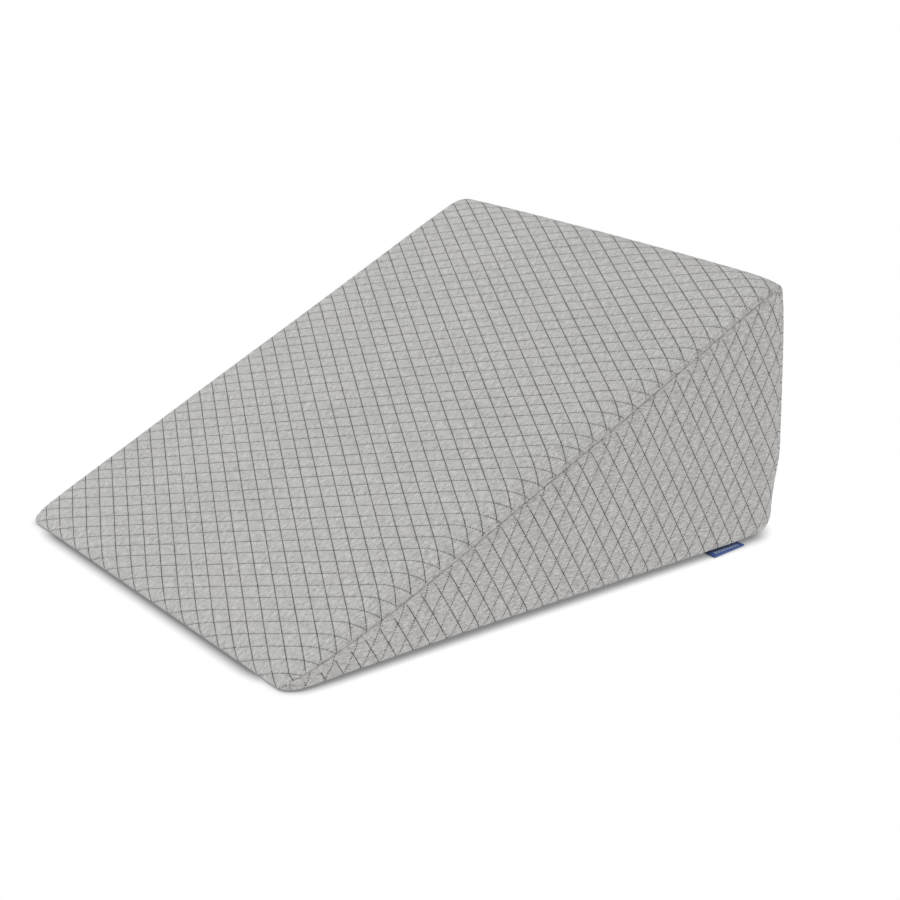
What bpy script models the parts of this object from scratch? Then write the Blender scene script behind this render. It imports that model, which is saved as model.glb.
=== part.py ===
"""Wedge pillow: a firm filled wedge in a quilted knit cover, with a folded fabric tab.

Metres, +Z up. The origin is on the floor, midway across the width and the length.
X runs across the width, Y from the thin nose to the tall back.
"""
import math

import bmesh
import bpy
from mathutils import Vector

# Driving sizes of the filled wedge
WIDTH = 0.600
LENGTH = 0.660
HEIGHT = 0.300

# How far each face swells past the straight wedge
BACK_CROWN = 0.006
SIDE_CROWN = 0.002
SLOPE_CROWN = 0.004
# Where the swell fades: before the back, up the length of the slope, and by height at the sides
BACK_CROWN_START = 0.10
SLOPE_CROWN_SHARE = 0.5
SIDE_CROWN_HEIGHT = 0.15

# The straight wedge inside the rounding. Its top rounds off down to HEIGHT, and the
# middle of each quilted diamond rises a little past its faces.
SHARP_HEIGHT = HEIGHT + 0.0038
NOSE_THICKNESS = 0.012
DIAMOND_RISE = 0.0008
HALF_WIDTH = WIDTH / 2 - SIDE_CROWN - DIAMOND_RISE
NOSE_Y = -LENGTH / 2
BACK_Y = LENGTH / 2 - BACK_CROWN - DIAMOND_RISE
SLOPE = (SHARP_HEIGHT - NOSE_THICKNESS) / (BACK_Y - NOSE_Y)

# Rounding at the nose and the back, measured along Y
NOSE_REACH = 0.030
BACK_REACH = 0.034

# Rounding of the long edges. One row for each station along the length:
# share of the length, upper edge across, upper edge down, lower edge across, lower edge up
EDGE_ROUNDING = (
    (0.00, 0.034, 0.012, 0.030, 0.004),
    (0.08, 0.018, 0.012, 0.018, 0.010),
    (0.38, 0.016, 0.018, 0.020, 0.012),
    (0.88, 0.013, 0.011, 0.020, 0.012),
    (0.96, 0.014, 0.010, 0.024, 0.032),
    (1.00, 0.017, 0.011, 0.030, 0.040),
)
# The most of the local height that the upper and the lower rounding may take, and the
# share of it over which the sides pass from the lower reach to the upper one
UPPER_SHARE = 0.70
LOWER_SHARE = 0.25
SIDE_BLEND = 0.25

# Ring lines of a rounded edge: 1 is the corner of the straight wedge, 0 where the flat begins.
# The seam lies on the second one, about 65 degrees round the edge.
RING = (1.0, 0.466, 0.176, 0.0)
SEAM_RING = 1
SEAM_DEPTH = 0.0015
SEAM_DEPTH_SHARE = 0.12

# Numbers of the panels that have a flat middle
SLOPE_PANEL, BASE_PANEL, RIGHT_PANEL, LEFT_PANEL, BACK_PANEL = range(1, 6)

# Plain spans between the rounded edges
SPANS_ACROSS = 8
SPANS_ALONG = 9
SPANS_UP = 4

# Lines between the diamonds of the quilted knit: spacing and slant. On the side panels the
# cloth is turned a little, by SIDE_LEAN.
LINE_SPACING = 0.0176
LINE_SLANT = math.radians(28.0)
SIDE_SPACING = 0.0181
SIDE_SLANT = math.radians(29.7)
SIDE_LEAN = math.radians(-2.3)
CUT_SNAP = 0.0009
# A diamond with this share of its area rises in full, one with the lower share by half
WHOLE_DIAMOND = 0.93
PART_DIAMOND = 0.55

# The folded tab in the lower seam of the right side
TAB_LENGTH = 0.050
TAB_CENTRE_Y = 0.245
TAB_INNER_X = 0.2846
TAB_OUTER_X = 0.2998
TAB_LAYER = 0.0007
TAB_GAP = 0.0004
TAB_FOLD_STEPS = 6

KNIT_GREY = (0.49, 0.49, 0.48, 1.0)
TAB_BLUE = (0.035, 0.085, 0.30, 1.0)


def clear_scene():
    for found in list(bpy.data.objects):
        bpy.data.objects.remove(found, do_unlink=True)


def plain_material(name, colour, roughness):
    material = bpy.data.materials.new(name)
    material.use_nodes = True
    shader = material.node_tree.nodes["Principled BSDF"]
    shader.inputs["Base Color"].default_value = colour
    shader.inputs["Roughness"].default_value = roughness
    shader.inputs["Metallic"].default_value = 0.0
    return material


def add_object(name, bm, material):
    mesh = bpy.data.meshes.new(name)
    bm.to_mesh(mesh)
    bm.free()
    mesh.materials.append(material)
    mesh.shade_smooth()
    mesh.set_sharp_from_angle(angle=math.radians(40))
    made = bpy.data.objects.new(name, mesh)
    bpy.context.collection.objects.link(made)
    return made


def smooth_step(value):
    value = min(max(value, 0.0), 1.0)
    return value * value * (3 - 2 * value)


def wedge_height(y):
    return NOSE_THICKNESS + SLOPE * (y - NOSE_Y)


def edge_rounding(y):
    """The four radii of EDGE_ROUNDING at y, smoothly between its rows."""
    share = min(max((y - NOSE_Y) / (BACK_Y - NOSE_Y), 0.0), 1.0)
    for row, after in zip(EDGE_ROUNDING, EDGE_ROUNDING[1:]):
        if share <= after[0]:
            break
    blend = smooth_step((share - row[0]) / (after[0] - row[0]))
    across_top, down, across_low, up = (a + (b - a) * blend for a, b in zip(row[1:], after[1:]))
    tall = wedge_height(y)
    down = min(down, UPPER_SHARE * tall)
    up = min(up, LOWER_SHARE * tall)
    return across_top, down, across_low, up


def side_reach(y, z):
    """How far the side rounding reaches across at this height."""
    across_top, down, across_low, up = edge_rounding(y)
    rise = smooth_step((z - up) / (SIDE_BLEND * wedge_height(y)))
    return across_low + (across_top - across_low) * rise


class Grid:
    """Lines of the straight wedge, numbered from low to high along each axis."""

    def __init__(self):
        rings = len(RING) - 1
        self.across = rings * 2 + SPANS_ACROSS
        self.along = rings * 2 + SPANS_ALONG
        self.up = rings * 2 + SPANS_UP
        self.rings = rings

    def place(self, index, count, low, high, low_reach, high_reach):
        """The coordinate of one line between low and high."""
        if index <= self.rings:
            return low + low_reach * (1 - RING[index])
        if index >= count - self.rings:
            return high - high_reach * (1 - RING[count - index])
        share = (index - self.rings) / (count - 2 * self.rings)
        return low + low_reach + share * (high - high_reach - low - low_reach)

    def sharp_point(self, i, j, k):
        """The point of the straight wedge where three lines meet."""
        y = self.place(j, self.along, NOSE_Y, BACK_Y, NOSE_REACH, BACK_REACH)
        down, up = edge_rounding(y)[1::2]
        z = self.place(k, self.up, 0.0, wedge_height(y), up, down)
        reach = side_reach(y, z)
        x = self.place(i, self.across, -HALF_WIDTH, HALF_WIDTH, reach, reach)
        return x, y, z

    def seam_line(self, i, j, k):
        """True where the seam round a side panel crosses this point of the grid."""
        on_side = i in (0, self.across)
        on_end = j in (0, self.along)
        on_base = k == 0
        seam_up = k == self.up - SEAM_RING
        seam_across = i in (SEAM_RING, self.across - SEAM_RING)
        past_seam = i <= SEAM_RING or i >= self.across - SEAM_RING
        if on_side:
            return seam_up
        if on_end:
            return (seam_up and past_seam) or (seam_across and k <= self.up - SEAM_RING)
        return on_base and seam_across


def soft_point(x, y, z):
    """Rounds a point of the straight wedge, and gives the way out of the surface there."""
    down, up = edge_rounding(y)[1::2]
    tall = wedge_height(y)
    reach_x = side_reach(y, z)
    reach_y = NOSE_REACH if y < 0 else BACK_REACH
    core_x = min(max(x, -HALF_WIDTH + reach_x), HALF_WIDTH - reach_x)
    core_y = min(max(y, NOSE_Y + NOSE_REACH), BACK_Y - BACK_REACH)
    core_z = min(max(z, up), tall - down)
    reach_z = up if z < core_z else down
    out = Vector(((x - core_x) / reach_x, (y - core_y) / reach_y, (z - core_z) / reach_z))
    if out.length > 1e-9:
        out.normalize()
    new_y = core_y + reach_y * out.y
    if z > core_z:
        new_z = wedge_height(new_y) - down * (1 - out.z)
    elif z < core_z:
        new_z = up * (1 + out.z)
    else:
        share = (z - up) / (tall - down - up)
        new_z = up + share * (wedge_height(new_y) - down - up)
    return Vector((core_x + reach_x * out.x, new_y, new_z)), out


def crowned(point):
    """Swells the faces a little past the rounded wedge, and leaves the underside flat."""
    x, y, z = point
    across = max(1 - (x / HALF_WIDTH) ** 2, 0.0)
    share = min(max((y - NOSE_Y) / (BACK_Y - NOSE_Y), 0.0), 1.0)
    tall = wedge_height(y)
    rise = min(max(z / tall, 0.0), 1.0)
    middle = 4 * rise * (1 - rise)
    behind = smooth_step((y - BACK_Y + BACK_CROWN_START) / BACK_CROWN_START)
    y += BACK_CROWN * across * behind * min(middle + rise / 3, 1.0)
    z += SLOPE_CROWN * across * rise ** 2 * smooth_step(share / SLOPE_CROWN_SHARE)
    beside = (abs(x) / HALF_WIDTH) ** 4
    swell = SIDE_CROWN * beside * middle * smooth_step(tall / SIDE_CROWN_HEIGHT)
    x += math.copysign(swell, x)
    return Vector((x, y, z))


def build_shell(grid):
    """The rounded wedge as one closed quad shell, with a number on each face for its flat panel."""
    bm = bmesh.new()
    panel = bm.faces.layers.int.new("panel")
    corners = {}

    def corner(i, j, k):
        key = (i, j, k)
        if key not in corners:
            point, out = soft_point(*grid.sharp_point(i, j, k))
            if grid.seam_line(i, j, k):
                point -= out * min(SEAM_DEPTH, SEAM_DEPTH_SHARE * wedge_height(point.y))
            corners[key] = bm.verts.new(point)
        return corners[key]

    def add_side(first_count, second_count, to_key, number, flip):
        for a in range(first_count):
            for b in range(second_count):
                ring = [to_key(a, b), to_key(a + 1, b), to_key(a + 1, b + 1), to_key(a, b + 1)]
                if flip:
                    ring.reverse()
                face = bm.faces.new([corner(*key) for key in ring])
                inside_a = grid.rings <= a < first_count - grid.rings
                inside_b = grid.rings <= b < second_count - grid.rings
                face[panel] = number if inside_a and inside_b else 0

    last_i, last_j, last_k = grid.across, grid.along, grid.up
    add_side(last_i, last_j, lambda a, b: (a, b, last_k), SLOPE_PANEL, False)
    add_side(last_i, last_j, lambda a, b: (a, b, 0), BASE_PANEL, True)
    add_side(last_j, last_k, lambda a, b: (last_i, a, b), RIGHT_PANEL, False)
    add_side(last_j, last_k, lambda a, b: (0, a, b), LEFT_PANEL, True)
    add_side(last_i, last_k, lambda a, b: (a, last_j, b), BACK_PANEL, True)
    add_side(last_i, last_k, lambda a, b: (a, 0, b), 0, False)
    return bm, panel


def panel_faces(bm, panel, number):
    return [face for face in bm.faces if face[panel] == number]


def join_flat(bm, panel, number):
    """Makes the flat middle of a panel one face."""
    bmesh.ops.dissolve_faces(bm, faces=panel_faces(bm, panel, number), use_verts=False)


def cut_lines(bm, panel, number, origin, along, normal, slant, spacing):
    """Cuts a flat panel along parallel lines that slant from the direction along."""
    along = along.normalized()
    across = normal.normalized().cross(along)
    step = across * math.cos(slant) - along * math.sin(slant)
    reaches = [(vert.co - origin).dot(step) for face in panel_faces(bm, panel, number) for vert in face.verts]
    first = math.ceil(min(reaches) / spacing)
    last = math.floor(max(reaches) / spacing)
    for line in range(first, last + 1):
        faces = panel_faces(bm, panel, number)
        edges = {edge for face in faces for edge in face.edges}
        verts = {vert for face in faces for vert in face.verts}
        bmesh.ops.bisect_plane(
            bm,
            geom=[*faces, *edges, *verts],
            dist=CUT_SNAP,
            plane_co=origin + step * line * spacing,
            plane_no=step,
        )


def raise_diamonds(bm, panel, number, slant, spacing):
    """Raises the middle of each diamond, less where the panel's edge cuts it short."""
    whole = spacing ** 2 / math.sin(2 * slant)
    full, part = [], []
    for face in panel_faces(bm, panel, number):
        share = face.calc_area() / whole
        if share > WHOLE_DIAMOND and len(face.verts) == 4:
            full.append(face)
        elif share > PART_DIAMOND:
            part.append(face)
    bmesh.ops.poke(bm, faces=full, offset=DIAMOND_RISE, center_mode="MEAN")
    bmesh.ops.poke(bm, faces=part, offset=DIAMOND_RISE / 2, center_mode="MEAN")


def quilt_panel(bm, panel, number, origin, along, normal, slant, spacing, lean=0.0):
    join_flat(bm, panel, number)
    for turned in (lean + slant, lean - slant):
        cut_lines(bm, panel, number, origin, along, normal, turned, spacing)
    raise_diamonds(bm, panel, number, slant, spacing)


def build_cushion(material):
    bm, panel = build_shell(Grid())
    middle_y = (NOSE_Y + BACK_Y) / 2
    up_slope = Vector((0, 1, SLOPE)).normalized()
    across = Vector((1, 0, 0))
    up = Vector((0, 0, 1))
    back = Vector((0, 1, 0))
    middle = Vector((0, middle_y, wedge_height(middle_y)))
    above = across.cross(up_slope)
    quilt_panel(bm, panel, SLOPE_PANEL, middle, across, above, LINE_SLANT, LINE_SPACING)
    middle = Vector((0, BACK_Y, HEIGHT / 2))
    quilt_panel(bm, panel, BACK_PANEL, middle, across, back, LINE_SLANT, LINE_SPACING)
    for number, side in ((RIGHT_PANEL, 1), (LEFT_PANEL, -1)):
        middle = Vector((side * HALF_WIDTH, middle_y, HEIGHT / 4))
        lean = SIDE_LEAN * side
        quilt_panel(bm, panel, number, middle, up, across * side, SIDE_SLANT, SIDE_SPACING, lean)
    join_flat(bm, panel, BASE_PANEL)
    for vert in bm.verts:
        vert.co = crowned(vert.co)
    bmesh.ops.triangulate(bm, faces=bm.faces[:])
    return add_object("wedge_cushion", bm, material)


def tab_section():
    """The ribbon's folded section across X and Z: two flat layers joined by a round fold."""
    half = TAB_LAYER + TAB_GAP / 2
    bend_x = TAB_OUTER_X - half
    points = [(TAB_INNER_X, 0.0), (bend_x, 0.0)]
    for step in range(1, TAB_FOLD_STEPS):
        angle = -math.pi / 2 + math.pi * step / TAB_FOLD_STEPS
        points.append((bend_x + half * math.cos(angle), half + half * math.sin(angle)))
    points += [(bend_x, 2 * half), (TAB_INNER_X, 2 * half), (TAB_INNER_X, half + TAB_GAP / 2)]
    for step in range(TAB_FOLD_STEPS + 1):
        angle = math.pi / 2 - math.pi * step / TAB_FOLD_STEPS
        points.append((bend_x + TAB_GAP / 2 * math.cos(angle), half + TAB_GAP / 2 * math.sin(angle)))
    points.append((TAB_INNER_X, half - TAB_GAP / 2))
    return points


def build_tab(material):
    bm = bmesh.new()
    start_y = TAB_CENTRE_Y - TAB_LENGTH / 2
    section = bm.faces.new([bm.verts.new((x, start_y, z)) for x, z in tab_section()])
    grown = bmesh.ops.extrude_face_region(bm, geom=[section])
    moved = [item for item in grown["geom"] if isinstance(item, bmesh.types.BMVert)]
    bmesh.ops.translate(bm, verts=moved, vec=(0, TAB_LENGTH, 0))
    bmesh.ops.recalc_face_normals(bm, faces=bm.faces[:])
    return add_object("side_label", bm, material)


def main():
    clear_scene()
    build_cushion(plain_material("quilted_knit", KNIT_GREY, 0.92))
    build_tab(plain_material("woven_ribbon", TAB_BLUE, 0.75))


main()
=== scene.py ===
"""Wedge pillow in a quilted knit cover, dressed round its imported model.

Metres, +Z up. X runs across the width, Y from the thin nose to the tall back.
"""

import math

import bpy
import numpy as np
from mathutils import Matrix, Vector, kdtree


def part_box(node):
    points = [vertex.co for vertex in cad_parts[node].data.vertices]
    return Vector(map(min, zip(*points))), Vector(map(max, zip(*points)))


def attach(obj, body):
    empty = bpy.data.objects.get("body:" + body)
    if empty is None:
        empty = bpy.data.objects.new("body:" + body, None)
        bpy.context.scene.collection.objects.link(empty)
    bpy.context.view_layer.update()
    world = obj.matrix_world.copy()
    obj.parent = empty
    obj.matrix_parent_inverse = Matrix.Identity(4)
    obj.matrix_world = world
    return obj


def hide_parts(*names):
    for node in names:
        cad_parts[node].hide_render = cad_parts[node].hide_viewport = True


bl_info = {
    "name": "Quilted Wedge Pillow",
    "version": (1, 0, 0),
    "blender": (4, 5, 0),
    "location": "View3D > Sidebar > Wedge Pillow",
    "description": "Builds a filled wedge pillow with a quilted knit cover, its yarn lines, tab and studio",
    "category": "Add Mesh",
}

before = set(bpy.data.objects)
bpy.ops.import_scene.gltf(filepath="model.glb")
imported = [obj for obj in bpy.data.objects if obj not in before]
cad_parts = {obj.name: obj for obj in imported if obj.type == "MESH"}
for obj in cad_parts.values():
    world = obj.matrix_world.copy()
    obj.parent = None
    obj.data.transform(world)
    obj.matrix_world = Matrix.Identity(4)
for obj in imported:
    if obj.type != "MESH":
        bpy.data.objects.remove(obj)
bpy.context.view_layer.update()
CUSHION_LOW, CUSHION_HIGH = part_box("wedge_cushion")
TAB_LOW, TAB_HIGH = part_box("side_label")

# Sizes of the filled wedge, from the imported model
WIDTH = CUSHION_HIGH.x - CUSHION_LOW.x
LENGTH = CUSHION_HIGH.y - CUSHION_LOW.y
HEIGHT = CUSHION_HIGH.z - CUSHION_LOW.z

# How far each face swells past the straight wedge. The back's swell starts this far in front of it,
# the slope's is full from this share of the length on, and the sides' where the wedge is this tall
BACK_CROWN = 0.006
SIDE_CROWN = 0.002
SLOPE_CROWN = 0.0018
BACK_CROWN_START = 0.10
SLOPE_CROWN_SHARE = 0.5
SIDE_CROWN_HEIGHT = 0.15

# The straight wedge inside the rounding, and how far the nose and the back are rounded along it
SHARP_HEIGHT = HEIGHT + 0.0038
NOSE_THICKNESS = 0.0098
DIAMOND_RISE = 0.0008
HALF_WIDTH = WIDTH / 2 - SIDE_CROWN - DIAMOND_RISE
NOSE_Y = -LENGTH / 2
BACK_Y = LENGTH / 2 - BACK_CROWN - DIAMOND_RISE
SLOPE = (SHARP_HEIGHT - NOSE_THICKNESS) / (BACK_Y - NOSE_Y)
NOSE_REACH = 0.024
BACK_REACH = 0.035

# Rounding of the long edges. One row for each station along the length:
# share of the length, upper edge across, upper edge down, lower edge across, lower edge up
EDGE_ROUNDING = np.array((
    (0.00, 0.0210, 0.0100, 0.0200, 0.0050),
    (0.08, 0.0125, 0.0100, 0.0200, 0.0100),
    (0.38, 0.0067, 0.0130, 0.0260, 0.0146),
    (0.88, 0.0067, 0.0130, 0.0260, 0.0146),
    (0.96, 0.0084, 0.0160, 0.0290, 0.0210),
    (1.00, 0.0115, 0.0165, 0.0317, 0.0273),
))

# The most that the upper and the lower rounding take of the height there, and the share of it
# in which the sides change from one to the other
UPPER_SHARE = 0.70
LOWER_SHARE = 0.25
SIDE_BLEND = 0.25

# Degrees round a rounded edge at which its lines lie: 45 is its middle, where the seams run,
# and 0 where the flat begins
RING_DEGREES = (45.0, 44.0, 42.0, 38.5, 34.0, 28.0, 21.0, 14.0, 7.0, 0.0)

# How far the slope falls off beside its side seams. One row for each station along the length:
# share of the length, fall at the right seam, fall at the left seam
SEAM_FALL = np.array((
    (0.00, 0.0054, 0.0044),
    (0.20, 0.0140, 0.0034),
    (0.55, 0.0105, 0.0028),
    (1.00, 0.0035, 0.0000),
))
# How far in from the seams that starts, and the most of the height that it takes
FALL_WIDTH = 0.038
FALL_SHARE = 0.30

# How far the side panels draw in just under their upper seams, and how far down that reaches,
# each with the most of the height that it takes
SIDE_INSET = 0.001
SIDE_INSET_SHARE = 0.1
INSET_DEPTH = 0.032
INSET_SHARE = 0.40

# How far the cover is drawn in at the back's top corners, left (-1) and right (1), which way,
# and at the nose's corners, with the size of all four hollows
CORNER_DRAW = {-1: 0.0008, 1: 0.0032}
CORNER_WAY = (0.5, 0.6, 0.62)
NOSE_DRAW = 0.0035
CORNER_SIZE = 0.035

# Mesh: size of a cell, and what the rounded edges leave of the width, the length and the height
CELL = 0.0032
ROUNDED_WIDTH = 0.04
ROUNDED_CELLS = 12
ROUNDED_HEIGHT = 0.05

# A seam: its groove, the most of the height and the share near the floor that the groove takes,
# the low roll of cloth beside it, the strip in which the diamonds lie flat, and the width of the painted
# shade along it
GROOVE_WIDTH = 0.0013
GROOVE_SHARE = 0.12
FLOOR_GROOVE = 0.2
ROLL_PLACE = 0.005
ROLL_WIDTH = 0.0028
ROLL_SHARE = 0.2
FLAT_STRIP = 0.008
SEAM_SHADE_WIDTH = 0.0007

# The height over which the puffs grow from nothing at the floor, and how full a puff is:
# 1 is a plain wave and less is fuller
FLOOR_STRIP = 0.006
PUFF_POWER = 0.6

# Lines between the quilted diamonds. Each row: wave direction from the cloth's first
# coordinate in degrees, spacing, and where the first line lies as a share of the spacing
STRIP_LINES = ((62.0, 0.0173, 0.86), (118.2, 0.01747, 0.92))
SIDE_LINES = ((62.6, 0.0183, 0.17), (122.25, 0.01775, 0.066))


def smooth_step(value):
    """From 0 to 1 with a soft start and end."""
    value = np.clip(value, 0.0, 1.0)
    return value * value * (3 - 2 * value)


def wedge_height(y):
    """Height of the straight wedge at y."""
    return NOSE_THICKNESS + SLOPE * (y - NOSE_Y)


def along_table(table, y):
    """The values of a table of stations at y, smoothly between its rows."""
    share = np.clip((y - NOSE_Y) / (BACK_Y - NOSE_Y), 0.0, 1.0)
    stations = table[:, 0]
    row = np.clip(np.searchsorted(stations, share, side="left") - 1, 0, len(stations) - 2)
    blend = smooth_step((share - stations[row]) / (stations[row + 1] - stations[row]))
    return [
        table[row, column] * (1 - blend) + table[row + 1, column] * blend
        for column in range(1, table.shape[1])
    ]


def edge_rounding(y):
    """The four reaches of EDGE_ROUNDING at y."""
    reaches = along_table(EDGE_ROUNDING, y)
    tall = wedge_height(y)
    reaches[1] = np.minimum(reaches[1], UPPER_SHARE * tall)
    reaches[3] = np.minimum(reaches[3], LOWER_SHARE * tall)
    return reaches


def side_reach(y, z):
    """How far the side rounding reaches across at this height."""
    across_top, _, across_low, up = edge_rounding(y)
    rise = smooth_step((z - up) / (SIDE_BLEND * wedge_height(y)))
    return across_low + (across_top - across_low) * rise


class Lines:
    """Positions of the mesh lines along one axis: close rings in the rounded edges, plain cells between."""

    def __init__(self, plain):
        ring = np.tan(np.radians(RING_DEGREES))
        self.rings = len(ring) - 1
        self.last = plain + 2 * self.rings
        index = np.arange(self.last + 1)
        share = np.clip((index - self.rings) / plain, 0.0, 1.0)
        self.from_low = 1 - share
        self.from_high = share.copy()
        self.span = share
        self.from_low[: self.rings + 1] = 1 - ring
        self.from_high[-self.rings - 1:] = (1 - ring)[::-1]

    def place(self, index, low, high, low_reach, high_reach):
        span = self.span[index] * (high - low)
        return low + span + self.from_low[index] * low_reach - self.from_high[index] * high_reach


def soft_point(x, y, z):
    """Rounds points of the straight wedge."""
    _, down, _, up = edge_rounding(y)
    tall = wedge_height(y)
    reach_x = side_reach(y, z)
    reach_y = np.where(y < 0, NOSE_REACH, BACK_REACH)
    core_x = np.clip(x, -HALF_WIDTH + reach_x, HALF_WIDTH - reach_x)
    core_y = np.clip(y, NOSE_Y + NOSE_REACH, BACK_Y - BACK_REACH)
    core_z = np.clip(z, up, tall - down)
    reach_z = np.where(z < core_z, up, down)
    out = np.stack([(x - core_x) / reach_x, (y - core_y) / reach_y, (z - core_z) / reach_z], axis=-1)
    out /= np.maximum(np.linalg.norm(out, axis=-1, keepdims=True), 1e-9)
    new_y = core_y + reach_y * out[..., 1]
    new_tall = wedge_height(new_y)
    above = new_tall - down * (1 - out[..., 2])
    below = up * (1 + out[..., 2])
    level = up + (z - up) / (tall - down - up) * (new_tall - down - up)
    new_z = np.where(z > core_z, above, np.where(z < core_z, below, level))
    return np.stack([core_x + reach_x * out[..., 0], new_y, new_z], axis=-1)


def crowned(point):
    """Swells the faces a little past the rounded wedge, and leaves the underside flat."""
    x, y, z = point[..., 0], point[..., 1], point[..., 2]
    across = np.maximum(1 - (x / HALF_WIDTH) ** 2, 0.0)
    share = np.clip((y - NOSE_Y) / (BACK_Y - NOSE_Y), 0.0, 1.0)
    tall = wedge_height(y)
    rise = np.clip(z / tall, 0.0, 1.0)
    middle = 4 * rise * (1 - rise)
    behind = smooth_step((y - BACK_Y + BACK_CROWN_START) / BACK_CROWN_START)
    new_y = y + BACK_CROWN * across * behind * np.minimum(middle + rise / 3, 1.0)
    new_z = z + SLOPE_CROWN * across * rise ** 2 * smooth_step(share / SLOPE_CROWN_SHARE)
    beside = (np.abs(x) / HALF_WIDTH) ** 4
    swell = SIDE_CROWN * beside * middle * smooth_step(tall / SIDE_CROWN_HEIGHT)
    return drawn_in(np.stack([x + np.copysign(swell, x), new_y, new_z], axis=-1))


def drawn_in(point):
    """Lets the cover fall off beside the upper side seams, and draws the top and nose corners in."""
    x, y, z = point[..., 0], point[..., 1], point[..., 2]
    tall = wedge_height(y)
    right, left = along_table(SEAM_FALL, y)
    fall = np.minimum(np.where(x > 0, right, left), FALL_SHARE * tall)
    near = np.clip(1 - (HALF_WIDTH - np.abs(x)) / FALL_WIDTH, 0.0, 1.0) ** 2
    rise = np.clip(z / tall, 0.0, 1.0) ** 4
    depth = np.minimum(INSET_DEPTH, INSET_SHARE * tall)
    below = np.clip(1 - (tall - z) / depth, 0.0, 1.0) ** 2
    inset = np.minimum(SIDE_INSET, SIDE_INSET_SHARE * tall) * near * below
    out = np.stack([x - np.copysign(inset, x), y, z - fall * near * rise], axis=-1)
    for side, draw in CORNER_DRAW.items():
        mirror = np.array((side, 1.0, 1.0))
        hollows = (
            (draw, (HALF_WIDTH, BACK_Y, wedge_height(BACK_Y)), CORNER_WAY),
            (NOSE_DRAW, (HALF_WIDTH, NOSE_Y, 0.0), (1.0, 0.0, 0.0)),
        )
        for deep, corner, way in hollows:
            pull = deep * np.exp(-((out - mirror * corner) ** 2).sum(-1) / CORNER_SIZE ** 2)
            out = out - pull[..., None] * mirror * way
    return out


class Chart:
    """A stretch of the cover as rows and columns of mesh points, with its cloth coordinates."""

    def __init__(self, name, keys, cloth, lines, used=None, flip=False):
        self.name = name
        self.keys = keys
        self.cloth = cloth
        self.lines = lines
        self.flip = flip
        self.index = None
        rows, columns = keys.shape[:2]
        self.used = np.ones((rows - 1, columns - 1), bool) if used is None else used
        self.waves = np.stack([wave_count(cloth, line) for line in lines], axis=-1)

    def corners(self, values):
        """Values of the mesh points at the four corners of each face in use, with the face outward."""
        found = [values[:-1, :-1], values[:-1, 1:], values[1:, 1:], values[1:, :-1]]
        if self.flip:
            found.reverse()
        return np.stack([part[self.used] for part in found], axis=1)


def wave_count(cloth, line):
    """How many lines of a family lie between the cloth's origin and each point."""
    degrees, spacing, start = line
    turn = math.radians(degrees)
    return (cloth[..., 0] * math.cos(turn) + cloth[..., 1] * math.sin(turn)) / spacing - start


def run_length(points, axis, dropped):
    """Distance along an axis of the grid, from its first line, without one direction."""
    step = np.diff(points, axis=axis)
    step[..., dropped] = 0.0
    length = np.linalg.norm(step, axis=-1)
    start = np.zeros_like(np.take(length, [0], axis=axis))
    return np.concatenate([start, np.cumsum(length, axis=axis)], axis=axis)


def centred(length, axis):
    """Distances along an axis, counted from its middle line."""
    middle = length.shape[axis] // 2
    return length - np.take(length, [middle], axis=axis)


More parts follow.
